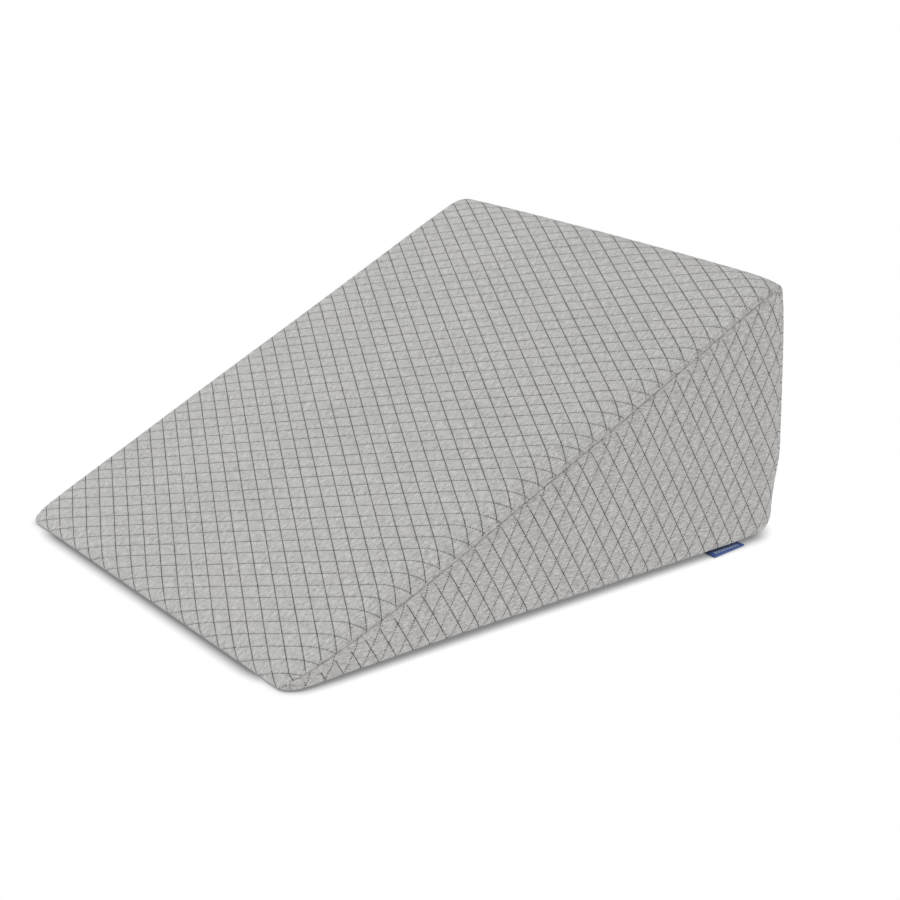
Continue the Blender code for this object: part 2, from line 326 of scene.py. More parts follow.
class Cover:
    """The whole surface of the cover: shared mesh points and the charts that use them."""

    def __init__(self, puff, seam_depth):
        slope_length = math.hypot(LENGTH, HEIGHT)
        self.across = Lines(round((WIDTH - ROUNDED_WIDTH) / CELL))
        self.along = Lines(round(slope_length / CELL) - ROUNDED_CELLS)
        self.up = Lines(round((HEIGHT - ROUNDED_HEIGHT) / CELL))
        self.last = (self.across.last, self.along.last, self.up.last)
        self.charts = self.make_charts()
        self.number_points()
        self.points = self.place(self.unique_keys)
        self.shape_details(puff, seam_depth)

    def place(self, keys):
        """The smooth crowned surface at grid keys."""
        i, j, k = keys[..., 0], keys[..., 1], keys[..., 2]
        y = self.along.place(j, NOSE_Y, BACK_Y, NOSE_REACH, BACK_REACH)
        _, down, _, up = edge_rounding(y)
        z = self.up.place(k, 0.0, wedge_height(y), up, down)
        reach = side_reach(y, z)
        x = self.across.place(i, -HALF_WIDTH, HALF_WIDTH, reach, reach)
        return crowned(soft_point(x, y, z))

    def make_charts(self):
        """The strip's four stretches and the two side panels, laid out with their cloth coordinates."""
        ni, nj, nk = self.last

        def keys(i, j, k):
            return np.stack(np.broadcast_arrays(i, j, k), axis=-1)

        # The slope: rows along, columns across
        top = keys(np.arange(ni + 1)[None], np.arange(nj + 1)[:, None], nk)
        points = self.place(top)
        u = centred(run_length(points, 1, 1), 1)
        v = run_length(points[:, [points.shape[1] // 2]], 0, 0)
        slope = Chart("slope", top, np.stack(np.broadcast_arrays(u, v), -1), STRIP_LINES)

        rows = (nk - np.arange(nk + 1))[:, None]
        made = [slope]
        for name, j, start, sign in (("back", nj, v[-1, 0], 1), ("nose", 0, 0.0, -1)):
            found = keys(np.arange(ni + 1)[None], j, rows)
            points = self.place(found)
            u_end = centred(run_length(points, 1, 2), 1)
            v_end = start + sign * run_length(points[:, [ni // 2]], 0, 0)
            cloth = np.stack(np.broadcast_arrays(u_end, v_end), -1)
            made.append(Chart(name, found, cloth, STRIP_LINES, flip=sign < 0))
            if sign > 0:
                under_start = v_end[-1, 0]

        # The underside: its flat middle is one face, the rest rows along and columns across
        found = keys(np.arange(ni + 1)[None], np.arange(nj + 1)[:, None], 0)
        points = self.place(found)
        rings = self.across.rings
        used = np.ones((nj, ni), bool)
        used[rings: nj - rings, rings: ni - rings] = False
        u_under = centred(run_length(points, 1, 1), 1)
        v_under = under_start + (points[-1:, :, 1] - points[..., 1])
        cloth = np.stack([u_under, v_under], -1)
        made.append(Chart("underside", found, cloth, STRIP_LINES, used, flip=True))

        # Each side panel: columns run from the nose to the back
        for name, side_i, sign in (("right", ni, 1), ("left", 0, -1)):
            found = keys(side_i, np.arange(nj + 1)[None], np.arange(nk + 1)[:, None])
            points = self.place(found)
            length = run_length(points, 1, 2)
            middle = nj // 2
            b = length - length[:, [middle]] + points[:, [middle], 1]
            height = run_length(points, 0, 1)
            middle = nk // 2
            a = height - height[[middle]] + points[[middle], :, 2]
            made.append(Chart(name, found, np.stack([a, b], -1), SIDE_LINES, flip=sign < 0))
        return made

    def number_points(self):
        """Gives each grid point that is used one number, shared by all the charts."""
        ni, nj, nk = self.last
        place_value = np.array(((nj + 1) * (nk + 1), nk + 1, 1))
        codes = [chart.keys @ place_value for chart in self.charts]
        unique, inverse = np.unique(np.concatenate([c.ravel() for c in codes]), return_inverse=True)
        start = 0
        for chart, code in zip(self.charts, codes):
            chart.index = inverse[start: start + code.size].reshape(code.shape)
            start += code.size
        self.unique_keys = unique[:, None] // place_value % np.array((ni + 1, nj + 1, nk + 1))

    def faces(self):
        """Corner numbers of all the four-sided faces, and cloth, line counts and bake places there."""
        found = []
        for chart in self.charts:
            values = (chart.index, chart.cloth, chart.waves, bake_place(chart.name, chart.cloth))
            found.append([chart.corners(part) for part in values])
        return [np.concatenate(parts) for parts in zip(*found)]

    def normals(self):
        """The mean direction of the faces round each mesh point."""
        corners = self.faces()[0]
        p = self.points[corners]
        face = np.cross(p[:, 2] - p[:, 0], p[:, 3] - p[:, 1])
        total = np.zeros_like(self.points)
        for corner in range(4):
            np.add.at(total, corners[:, corner], face)
        return total / np.maximum(np.linalg.norm(total, axis=1, keepdims=True), 1e-12)

    def seam_points(self):
        """Numbers of the mesh points on the side seams, without their upright stretch at the back."""
        found = []
        for chart in self.charts:
            if chart.name in ("right", "left"):
                found += [chart.index[0], chart.index[-1], chart.index[:, 0]]
        return np.unique(np.concatenate(found))

    def shape_details(self, puff, seam_depth):
        """Puffs the diamonds and draws the seams in."""
        waves = np.zeros((len(self.points), 2))
        for chart in self.charts:
            waves[chart.index.ravel()] = chart.waves.reshape(-1, 2)
        seams = self.points[self.seam_points()]
        tree = kdtree.KDTree(len(seams))
        for number, point in enumerate(seams):
            tree.insert(point, number)
        tree.balance()
        self.seam_distance = np.array([tree.find(point)[2] for point in self.points])
        tall = wedge_height(self.points[:, 1])
        lift = smooth_step(self.points[:, 2] / np.minimum(FLOOR_STRIP, 0.5 * tall))
        swell = np.prod(0.5 - 0.5 * np.cos(2 * np.pi * waves), axis=1) ** PUFF_POWER
        away = smooth_step(self.seam_distance / FLAT_STRIP)
        depth = np.minimum(seam_depth, GROOVE_SHARE * tall)
        crease = depth * np.exp(-(self.seam_distance / GROOVE_WIDTH) ** 2)
        roll = np.exp(-((self.seam_distance - ROLL_PLACE) / ROLL_WIDTH) ** 2)
        crease -= ROLL_SHARE * depth * roll
        normal = self.normals()
        crease *= np.maximum(lift, FLOOR_GROOVE)
        self.points += normal * (puff * swell * away * lift - crease)[:, None]
        self.points[:, 2] = np.maximum(self.points[:, 2], 0.0)
        self.normal = self.normals()

    def flat_middle(self):
        """The underside's flat middle as one face, with its cloth coordinates and line counts."""
        chart = next(c for c in self.charts if c.name == "underside")
        rings = self.across.rings
        ni, nj = self.last[:2]
        low_c, high_c, low_r, high_r = rings, ni - rings, rings, nj - rings
        loop = [(r, low_c) for r in range(low_r, high_r)]
        loop += [(high_r, c) for c in range(low_c, high_c)]
        loop += [(r, high_c) for r in range(high_r, low_r, -1)]
        loop += [(low_r, c) for c in range(high_c, low_c, -1)]
        rows, columns = np.array(loop).T
        return chart.index[rows, columns], chart.cloth[rows, columns], chart.waves[rows, columns]


# Where each stretch of the cover lies on the square bake layout, in metres of cloth:
# scale, whether it is turned upside down, and the place of its cloth origin
BAKE_SIDE = 1.09
BAKE_PLACES = {
    "slope": (1.0, False, (0.335, 0.035)),
    "back": (1.0, False, (0.335, 0.035)),
    "nose": (1.0, False, (0.335, 0.035)),
    "right": (1.0, False, (0.715, 0.40)),
    "left": (1.0, True, (1.045, 0.40)),
    "underside": (0.44, False, (0.855, 0.335)),
}


def bake_place(chart_name, cloth):
    """Cloth coordinates of a chart as places on the bake layout."""
    scale, upside_down, place = BAKE_PLACES[chart_name]
    turned = -cloth if upside_down else cloth
    return (turned * scale + np.array(place)) / BAKE_SIDE


def set_uv(mesh, name, values):
    """Adds a layer of coordinates, one pair for each corner of each face."""
    layer = mesh.uv_layers.new(name=name)
    layer.data.foreach_set("uv", values.astype(np.float32).ravel())


def new_mesh_object(name, points, faces, material):
    """A smooth mesh piece in the scene."""
    mesh = bpy.data.meshes.new(name)
    mesh.from_pydata(points.tolist(), [], faces)
    mesh.materials.append(material)
    made = bpy.data.objects.new(name, mesh)
    bpy.context.collection.objects.link(made)
    mesh.shade_smooth()
    return made


def build_cushion(cover, material):
    """The closed skin of the cushion, with its cloth coordinates and the painted shade along the seams."""
    corners, cloth, waves, bake = cover.faces()
    middle, middle_cloth, middle_waves = cover.flat_middle()
    kept, numbers = np.unique(np.concatenate([corners.ravel(), middle]), return_inverse=True)
    faces = numbers[: corners.size].reshape(corners.shape).tolist()
    faces.append(numbers[corners.size:].tolist())
    made = new_mesh_object("quilted_cushion", cover.points[kept], faces, material)
    layers = (
        ("cloth", cloth, middle_cloth),
        ("quilt", waves, middle_waves),
        ("OFBake", bake, bake_place("underside", middle_cloth)),
    )
    for name, four, single in layers:
        set_uv(made.data, name, np.concatenate([four.reshape(-1, 2), single]))
    # how much painted shade darkens the cloth at each point near the seams
    seam = made.data.attributes.new("seam", "FLOAT", "POINT")
    tone = np.exp(-(cover.seam_distance[kept] / SEAM_SHADE_WIDTH) ** 2)
    seam.data.foreach_set("value", tone.astype(np.float32))
    made.data.uv_layers["cloth"].active = True
    made.data.uv_layers["cloth"].active_render = True
    return made


def grid_value(values, row, column):
    """Values of a chart between its mesh points."""
    r0 = np.clip(np.floor(row).astype(int), 0, values.shape[0] - 2)
    c0 = np.clip(np.floor(column).astype(int), 0, values.shape[1] - 2)
    fr = (row - r0)[:, None]
    fc = (column - c0)[:, None]
    low = values[r0, c0] * (1 - fc) + values[r0, c0 + 1] * fc
    high = values[r0 + 1, c0] * (1 - fc) + values[r0 + 1, c0 + 1] * fc
    return low * (1 - fr) + high * fr


# The search for a place on the cloth: how many first guesses each way, how many steps, the longest
# step at first, how much it shrinks each time, the longest at the end, and the miss that is let pass
GUESSES = 24
GUESS_BATCH = 2000
SEARCH_STEPS = 36
FIRST_STEP = 12
STEP_SHRINK = 0.8
LAST_STEP = 0.4
SEARCH_MISS = 2e-4


def locate(cloth, wanted):
    """Rows and columns of a chart at which the cloth coordinates are the wanted ones."""
    rows, columns = cloth.shape[:2]
    coarse_r = np.arange(0, rows, max(rows // GUESSES, 1))
    coarse_c = np.arange(0, columns, max(columns // GUESSES, 1))
    guess_r, guess_c = (g.ravel() for g in np.meshgrid(coarse_r, coarse_c, indexing="ij"))
    coarse = cloth[guess_r, guess_c]
    nearest = np.concatenate([
        np.argmin(((part[:, None] - coarse[None]) ** 2).sum(-1), axis=1)
        for part in np.array_split(wanted, max(len(wanted) // GUESS_BATCH, 1))
    ])
    row = guess_r[nearest].astype(float)
    column = guess_c[nearest].astype(float)
    for step in range(SEARCH_STEPS):
        limit = max(FIRST_STEP * STEP_SHRINK ** step, LAST_STEP)
        here = grid_value(cloth, row, column)
        r0 = np.clip(np.floor(row).astype(int), 0, rows - 2)
        c0 = np.clip(np.floor(column).astype(int), 0, columns - 2)
        by_row = cloth[r0 + 1, c0] - cloth[r0, c0]
        by_column = cloth[r0, c0 + 1] - cloth[r0, c0]
        area = by_row[:, 0] * by_column[:, 1] - by_row[:, 1] * by_column[:, 0]
        area = np.where(np.abs(area) < 1e-12, 1e-12, area)
        miss = wanted - here
        step_r = (miss[:, 0] * by_column[:, 1] - miss[:, 1] * by_column[:, 0]) / area
        step_c = (by_row[:, 0] * miss[:, 1] - by_row[:, 1] * miss[:, 0]) / area
        row = np.clip(row + np.clip(step_r, -limit, limit), 0, rows - 1)
        column = np.clip(column + np.clip(step_c, -limit, limit), 0, columns - 1)
    missed = np.linalg.norm(grid_value(cloth, row, column) - wanted, axis=1)
    return row, column, missed < SEARCH_MISS


# Stitches: the shift from one line to the next as a share of the pitch, their smallest and largest
# size, how far they stand out as a share of their thickness, and the lowest one's height
LINE_SHIFT = 0.381966
STITCH_SIZES = (0.86, 1.14)
STITCH_LIFT = 0.12
LOWEST_STITCH = 0.0012


def line_points(chart, line, pitch):
    """Evenly spaced points along every line of a family that crosses a chart, and the lines' direction."""
    degrees, spacing, start = line
    turn = math.radians(degrees)
    wave = np.array([math.cos(turn), math.sin(turn)])
    along = np.array([-wave[1], wave[0]])
    flat = chart.cloth.reshape(-1, 2)
    counts = flat @ wave / spacing - start
    reach = flat @ along
    found = []
    for count in range(math.ceil(counts.min()), math.floor(counts.max()) + 1):
        shift = (count * LINE_SHIFT) % 1.0
        steps = np.arange(math.floor(reach.min() / pitch), math.ceil(reach.max() / pitch)) + shift
        found.append(wave * (count + start) * spacing + steps[:, None] * pitch * along)
    return np.concatenate(found), along


def single_stitch():
    """One stitch, one unit long, wide and thick: a stretched lozenge."""
    bpy.ops.object.select_all(action="DESELECT")
    bpy.ops.mesh.primitive_uv_sphere_add(segments=4, ring_count=2, radius=0.5, location=(0, 0, 0))
    made = bpy.context.object
    bpy.ops.object.mode_set(mode="EDIT")
    bpy.ops.mesh.select_all(action="SELECT")
    bpy.ops.transform.rotate(value=math.pi / 2, orient_axis="Y", center_override=(0, 0, 0))
    bpy.ops.mesh.quads_convert_to_tris()
    bpy.ops.mesh.normals_make_consistent(inside=False)
    bpy.ops.object.mode_set(mode="OBJECT")
    points = np.array([v.co for v in made.data.vertices])
    faces = np.array([list(p.vertices) for p in made.data.polygons])
    bpy.data.meshes.remove(made.data)
    return points, faces


def build_stitches(name, cover, chart_names, family, pitch, length, width, thickness, material):
    """One mesh of small stitches that lie in the cover along one family of its lines."""
    model, model_faces = single_stitch()
    points, faces = [], []
    count = 0
    random = np.random.default_rng(20 + family)
    for chart in cover.charts:
        if chart.name not in chart_names:
            continue
        wanted, along = line_points(chart, chart.lines[family], pitch)
        ends = []
        kept = np.ones(len(wanted), bool)
        surface = cover.points[chart.index]
        normals = cover.normal[chart.index]
        for side in (-0.5, 0.5):
            row, column, inside = locate(chart.cloth, wanted + along * side * length)
            kept &= inside & on_used_faces(chart, row, column)
            ends.append(grid_value(surface, row, column))
            normal = grid_value(normals, row, column)
        kept &= ends[0][:, 2] > LOWEST_STITCH
        start, end, normal = ends[0][kept], ends[1][kept], normal[kept]
        middle = (start + end) / 2
        ahead = end - start
        ahead /= np.linalg.norm(ahead, axis=1, keepdims=True)
        beside = np.cross(normal, ahead)
        beside /= np.linalg.norm(beside, axis=1, keepdims=True)
        above = np.cross(ahead, beside)
        size = random.uniform(*STITCH_SIZES, (len(middle), 1, 1))
        placed = (
            middle[:, None]
            + model[None, :, 0:1] * ahead[:, None] * length * size
            + model[None, :, 1:2] * beside[:, None] * width * size
            + (model[None, :, 2:3] + STITCH_LIFT) * thickness * above[:, None]
        )
        points.append(placed.reshape(-1, 3))
        starts = count + np.arange(len(middle)) * len(model)
        faces.append((model_faces[None] + starts[:, None, None]).reshape(-1, 3))
        count += placed.shape[0] * placed.shape[1]
    return new_mesh_object(name, np.concatenate(points), np.concatenate(faces).tolist(), material)


def on_used_faces(chart, row, column):
    """Whether a chart has a face at these rows and columns."""
    rows, columns = chart.used.shape
    r0 = np.clip(np.floor(row).astype(int), 0, rows - 1)
    c0 = np.clip(np.floor(column).astype(int), 0, columns - 1)
    return chart.used[r0, c0]


class Nodes:
    """Short calls for building the nodes of a material or a world."""

    def __init__(self, owner):
        owner.use_nodes = True
        self.tree = owner.node_tree
        self.shader = self.tree.nodes.get("Principled BSDF")

    def add(self, kind, **settings):
        node = self.tree.nodes.new(kind)
        for name, value in settings.items():
            setattr(node, name, value)
        return node

    def join(self, source, target):
        self.tree.links.new(source, target)

    def fix(self, node, values):
        for name, value in values.items():
            node.inputs[name].default_value = value

    def uv(self, name):
        return self.add("ShaderNodeUVMap", uv_map=name).outputs[0]

    def place(self, kind="Object"):
        return self.add("ShaderNodeTexCoord").outputs[kind]

    def split(self, vector):
        node = self.add("ShaderNodeSeparateXYZ")
        self.join(vector, node.inputs[0])
        return node.outputs

    def value(self, operation, *inputs):
        node = self.add("ShaderNodeMath", operation=operation)
        for socket, given in zip(node.inputs, inputs):
            if isinstance(given, (int, float)):
                socket.default_value = given
            else:
                self.join(given, socket)
        return node.outputs[0]

    def stretched(self, vector, scale):
        node = self.add("ShaderNodeMapping")
        self.fix(node, {"Scale": scale})
        self.join(vector, node.inputs["Vector"])
        return node.outputs[0]

    def noise(self, vector, scale=1.0, detail=2.0, roughness=0.5, distortion=0.0):
        node = self.add("ShaderNodeTexNoise")
        self.fix(node, {"Scale": scale, "Detail": detail, "Roughness": roughness, "Distortion": distortion})
        self.join(vector, node.inputs["Vector"])
        return node.outputs["Fac"]

    def spread(self, value, low, high, to_low=0.0, to_high=1.0, smooth=True):
        kind = "SMOOTHSTEP" if smooth else "LINEAR"
        node = self.add("ShaderNodeMapRange", interpolation_type=kind)
        self.fix(node, {"From Min": low, "From Max": high, "To Min": to_low, "To Max": to_high})
        self.join(value, node.inputs["Value"])
        return node.outputs["Result"]

    def mix(self, amount, first, second, blend="MIX"):
        node = self.add("ShaderNodeMix", data_type="RGBA", blend_type=blend)
        for number, given in ((0, amount), (6, first), (7, second)):
            socket = node.inputs[number]
            if isinstance(given, (int, float, tuple)):
                socket.default_value = given
            else:
                self.join(given, socket)
        return node.outputs[2]

    def bump(self, height, distance, before=None):
        node = self.add("ShaderNodeBump")
        self.fix(node, {"Distance": distance})
        self.join(height, node.inputs["Height"])
        if before is not None:
            self.join(before, node.inputs["Normal"])
        return node.outputs[0]

    def grey(self, strength):
        node = self.add("ShaderNodeCombineXYZ")
        for socket in node.inputs:
            self.join(strength, socket)
        return node.outputs[0]


def knit_material(colour):
    """Heathered light grey knit: fleecy streaks along the cloth, flecks, a soft dip at each line, and
    painted shade along the lines and the seams.
    """
    material = bpy.data.materials.new("quilted_knit")
    n = Nodes(material)
    cloth = n.uv("cloth")
    place = n.place()
    # fleece lies along the cloth's second coordinate
    long_streaks = n.noise(n.stretched(cloth, (500, 110, 1)), detail=2, roughness=0.6, distortion=0.25)
    short_streaks = n.noise(n.stretched(cloth, (1050, 360, 1)), detail=2, roughness=0.65)
    flecks = n.noise(place, scale=1100, detail=1)
    cloudy = n.noise(place, scale=9, detail=2)
    warm = n.noise(place, scale=21, detail=2)
    quilt = n.split(n.uv("quilt"))
    from_line = n.value("MINIMUM", *(n.value("PINGPONG", quilt[family], 0.5) for family in (0, 1)))
    # light and dark fleece, painted shade along the quilt lines and the seams, and bright specks
    tone = n.spread(long_streaks, 0.3, 0.7, -0.26, 0.26, smooth=False)
    for grain, strength in ((short_streaks, 0.24), (flecks, 0.17)):
        tone = n.value("ADD", tone, n.spread(grain, 0.3, 0.7, -strength, strength, smooth=False))
    tone = n.value("ADD", tone, n.spread(cloudy, 0.3, 0.7, -0.02, 0.02))
    # painted shade in the troughs along the quilt lines
    tone = n.value("ADD", tone, n.spread(from_line, 0.0, 0.11, -0.06, 0.006))
    # painted shade in the seams' grooves, read from the seam attribute
    seam = n.add("ShaderNodeAttribute", attribute_name="seam")
    tone = n.value("SUBTRACT", tone, n.value("MULTIPLY", seam.outputs["Fac"], 0.32))
    bright = n.value("ADD", tone, 1.0)
    # sparse brighter specks on the knit
    bright_specks = n.spread(n.noise(place, scale=330, detail=0), 0.79, 0.83)
    bright = n.value("ADD", bright, n.value("MULTIPLY", bright_specks, 0.25))
    warmer = (colour[0] * 1.015, colour[1] * 0.985, colour[2] * 0.965, 1)
    tint = n.mix(n.spread(warm, 0.45, 0.75, 0.0, 0.5), (*colour, 1), warmer)
    n.join(n.mix(1.0, tint, n.grey(bright), blend="MULTIPLY"), n.shader.inputs["Base Color"])
    n.fix(n.shader, {"Roughness": 0.93, "Specular IOR Level": 0.2})
    n.fix(n.shader, {"Sheen Weight": 0.12, "Sheen Roughness": 0.5})
    dip = n.spread(from_line, 0.0, 0.16)
    relief = n.bump(dip, 0.0006)
    fleece = n.value("ADD", long_streaks, n.value("MULTIPLY", short_streaks, 0.6))
    fleece = n.value("ADD", fleece, n.value("MULTIPLY", flecks, 0.35))
    n.join(n.bump(fleece, 0.0004, before=relief), n.shader.inputs["Normal"])
    return material


def yarn_material(colour):
    """Dark grey knitting yarn, each stitch a little lighter or darker."""
    material = bpy.data.materials.new("lattice_yarn")
    n = Nodes(material)
    shade = n.spread(n.noise(n.place(), scale=380, detail=2), 0.3, 0.7, 0.35, 2.6, smooth=False)
    n.join(n.mix(1.0, (*colour, 1), n.grey(shade), blend="MULTIPLY"), n.shader.inputs["Base Color"])
    n.fix(n.shader, {"Roughness": 0.95, "Specular IOR Level": 0.15})
    return material


def tab_line(outer_x, inner_x, rise, bend, steps):
    """The folded ribbon's middle line across X and Z: out along the floor, round the fold and back."""
    turn_x = outer_x - bend
    line = [(inner_x + (turn_x - inner_x) * s / steps, rise) for s in range(steps)]
    for s in range(steps + 1):
        angle = -math.pi / 2 + math.pi * s / steps
        line.append((turn_x + bend * math.cos(angle), rise + bend + bend * math.sin(angle)))
    line += [(turn_x + (inner_x - turn_x) * s / steps, rise + 2 * bend) for s in range(1, steps + 1)]
    return line


# The tab's mesh: rows along it, steps of each part of its middle line. Its middle lies this much of
# the thickness above the floor, and the fold opens and closes by this share
TAB_ROWS = 40
TAB_STEPS = 8
TAB_LIFT = 0.7
TAB_OPENING = 0.25


def build_tab(settings, material):
    """The folded ribbon in the side panel's lower seam, and its length when laid flat."""
    cloth = settings.thickness
    points, faces, length = [], [], 0.0
    for row in range(TAB_ROWS + 1):
        share = row / TAB_ROWS
        y = TAB_LOW.y - settings.forward + (TAB_HIGH.y - TAB_LOW.y) * share
        outer_x = settings.outer_x - settings.skew * share
        bend = settings.bend * (1 + TAB_OPENING * math.sin(5.0 * share + 0.6))
        line = tab_line(outer_x, settings.inner_x, TAB_LIFT * cloth, bend, TAB_STEPS)
        length += sum(math.dist(a, b) for a, b in zip(line, line[1:])) / (TAB_ROWS + 1)
        points += [(x, y, z) for x, z in line]
        columns = len(line)
    for row in range(TAB_ROWS):
        for column in range(columns - 1):
            first = row * columns + column
            faces.append([first, first + 1, first + columns + 1, first + columns])
    made = new_mesh_object("folded_tab", np.array(points), faces, material)
    bpy.ops.object.select_all(action="DESELECT")
    made.select_set(True)
    bpy.context.view_layer.objects.active = made
    thick = made.modifiers.new("cloth", "SOLIDIFY")
    thick.thickness = cloth
    thick.offset = 0.0
    bpy.ops.object.modifier_apply(modifier=thick.name)
    made.data.set_sharp_from_angle(angle=math.radians(50))
    return made, length


def ribbon_material(colour, pale, middle_y):
    """Blue satin ribbon with fine ribs, a plain row of small woven diamonds about its middle, and painted
    shade of the cushion along its inner edge.
    """
    material = bpy.data.materials.new("woven_ribbon")
    n = Nodes(material)
    place = n.place()
    parts = n.split(place)
    ribs = n.value("PINGPONG", n.value("MULTIPLY", parts[1], 1 / 0.0005), 0.5)
    picks = n.value("PINGPONG", n.value("MULTIPLY", parts[0], 1 / 0.0004), 0.5)
    weave = n.value("ADD", ribs, picks)
    # a row of diamonds along the middle of the width that shows, and painted shade of the cushion in a dark
    # band beside it
    along = n.value("SUBTRACT", parts[1], middle_y)
    middle_x = n.value("ADD", n.value("MULTIPLY", along, -0.08), 0.2925)
    step = n.value("MULTIPLY", n.value("PINGPONG", along, 0.0022), 1 / 0.0022)
    across = n.value("SUBTRACT", parts[0], middle_x)
    aside = n.value("MULTIPLY", n.value("ABSOLUTE", across), 1 / 0.0044)
    inside = n.spread(n.value("ADD", step, aside), 0.85, 1.1, 1.0, 0.0)
    row_end = n.spread(n.value("ABSOLUTE", along), 0.0188, 0.0192, 1.0, 0.0)
    inside = n.value("MULTIPLY", inside, row_end)
    # painted shadow of the cushion, dark over the ribbon's inner edge
    cushion_shade_band = n.spread(across, -0.0050, -0.0035, 0.75, 0.0)
    base = n.mix(cushion_shade_band, (*colour, 1), (colour[0] * 0.25, colour[1] * 0.2, colour[2] * 0.25, 1))
    base = n.mix(n.value("MULTIPLY", inside, 0.9), base, (*pale, 1))
    shade = n.spread(weave, 0.0, 1.0, 0.82, 1.14, smooth=False)
    threads = n.spread(n.noise(place, scale=900, detail=2), 0.3, 0.7, 0.86, 1.14, smooth=False)
    shade = n.value("MULTIPLY", shade, threads)
    n.join(n.mix(1.0, base, n.grey(shade), blend="MULTIPLY"), n.shader.inputs["Base Color"])
    n.fix(n.shader, {"Roughness": 0.55, "Sheen Weight": 0.2, "Specular IOR Level": 0.35})
    n.join(n.bump(n.value("ADD", weave, inside), 0.00012), n.shader.inputs["Normal"])
    return material


class CushionSettings(bpy.types.PropertyGroup):
    puff: bpy.props.FloatProperty(
        name="Diamond rise", description="How far the middle of a quilted diamond stands proud",
        default=0.0004, unit="LENGTH")
    seam_depth: bpy.props.FloatProperty(
        name="Seam depth", description="How deep the seams round the side panels draw in",
        default=0.0009, unit="LENGTH")
    colour: bpy.props.FloatVectorProperty(
        name="Knit colour", description="Mean colour of the heathered knit",
        default=(0.50, 0.50, 0.49), subtype="COLOR", size=3)


class YarnSettings(bpy.types.PropertyGroup):
    pitch: bpy.props.FloatProperty(
        name="Stitch pitch", description="Distance from one stitch to the next along a line",
        default=0.0031, unit="LENGTH")
    side_pitch: bpy.props.FloatProperty(
        name="Side pitch", description="Distance from one stitch to the next on the side panels",
        default=0.0027, unit="LENGTH")
    width: bpy.props.FloatProperty(
        name="Stitch width", description="Width of a stitch", default=0.00105, unit="LENGTH")
    thickness: bpy.props.FloatProperty(
        name="Stitch thickness", description="Thickness of a stitch", default=0.0005, unit="LENGTH")
    close_share: bpy.props.FloatProperty(
        name="Close stitch", description="Length of a stitch over its pitch, in the unbroken lines",
        default=1.05)
    open_share: bpy.props.FloatProperty(
        name="Open stitch", description="Length of a stitch over its pitch, in the dotted lines",
        default=0.66)
    colour: bpy.props.FloatVectorProperty(
        name="Yarn colour", description="Colour of the lines' yarn",
        default=(0.040, 0.040, 0.041), subtype="COLOR", size=3)


class TabSettings(bpy.types.PropertyGroup):
    inner_x: bpy.props.FloatProperty(
        name="Inner edge", description="Where the ribbon ends under the cushion",
        default=TAB_LOW.x - 0.0006, unit="LENGTH")
    outer_x: bpy.props.FloatProperty(
        name="Fold", description="Where the fold lies at the front end",
        default=TAB_HIGH.x + 0.0012, unit="LENGTH")
    forward: bpy.props.FloatProperty(
        name="Shift", description="How far nearer the nose it lies than the packed model's tab",
        default=0.0035, unit="LENGTH")
    skew: bpy.props.FloatProperty(
        name="Skew", description="How much deeper the rear end is caught", default=0.0055, unit="LENGTH")
    bend: bpy.props.FloatProperty(
        name="Fold radius", description="Radius of the fold's middle line", default=0.0005, unit="LENGTH")
    thickness: bpy.props.FloatProperty(
        name="Ribbon thickness", description="Thickness of the ribbon", default=0.0005, unit="LENGTH")
    colour: bpy.props.FloatVectorProperty(
        name="Ribbon colour", description="Colour of the ribbon",
        default=(0.045, 0.12, 0.43), subtype="COLOR", size=3)
    pale: bpy.props.FloatVectorProperty(
        name="Diamond colour", description="Colour of the woven diamonds",
        default=(0.55, 0.68, 0.98), subtype="COLOR", size=3)


class StudioSettings(bpy.types.PropertyGroup):
    azimuth: bpy.props.FloatProperty(
        name="Camera azimuth", description="Turn of the camera round the pillow",
        default=math.radians(54.788), subtype="ANGLE")
    elevation: bpy.props.FloatProperty(
        name="Camera elevation", description="Height of the camera above the horizon",
        default=math.radians(19.610), subtype="ANGLE")
    roll: bpy.props.FloatProperty(
        name="Camera roll", description="Tilt of the picture",
        default=math.radians(-1.531), subtype="ANGLE")
    distance: bpy.props.FloatProperty(
        name="Camera distance", description="From the camera to the pillow's origin",
        default=2.2328, unit="LENGTH")
    offset: bpy.props.FloatVectorProperty(
        name="Camera offset", description="Shift of the camera right and up in its own plane",
        default=(0.0590, 0.0880), unit="LENGTH", size=2)
    focal_pixels: bpy.props.FloatProperty(
        name="Focal length", description="Focal length in pixels of a 900 pixel frame", default=1918.7)


# The floor's shadow: where it starts from the middle, its pace across X beside that along Y, how
# round its corners are, how far it reaches, its darkest tone and how fast it fades, with the reach
# of the darkening right under the edge
SHADOW_X = 0.2830
SHADOW_Y = 0.3300
SHADOW_RATE = 0.72
SHADOW_CORNER = 0.05
SHADOW_SIZE = 0.0165
SHADOW_TONE = 0.235
SHADOW_FADE = 1.35
CONTACT_REACH = 0.012

# The floor lies this far under the pillow, so that no faces share a place
FLOOR_SIZE = 60
FLOOR_GAP = 0.0003

# Strength of the light from all round: level and from straight above
WORLD_LIGHT = (0.585, 0.865)

# Camera: pixels of the frame and width of the sensor in millimetres
FRAME_PIXELS = 900
SENSOR = 36.0


class WEDGE_OT_cushion(bpy.types.Operator):
    """Add the filled wedge in its quilted knit cover"""

    bl_idname = "wedge.cushion"
    bl_label = "Quilted Cushion"

    def execute(self, context):
        settings = context.scene.wedge_cushion
        cover = Cover(settings.puff, settings.seam_depth)
        made = build_cushion(cover, knit_material(settings.colour))
        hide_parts("wedge_cushion")
        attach(made, "root")
        return {"FINISHED"}


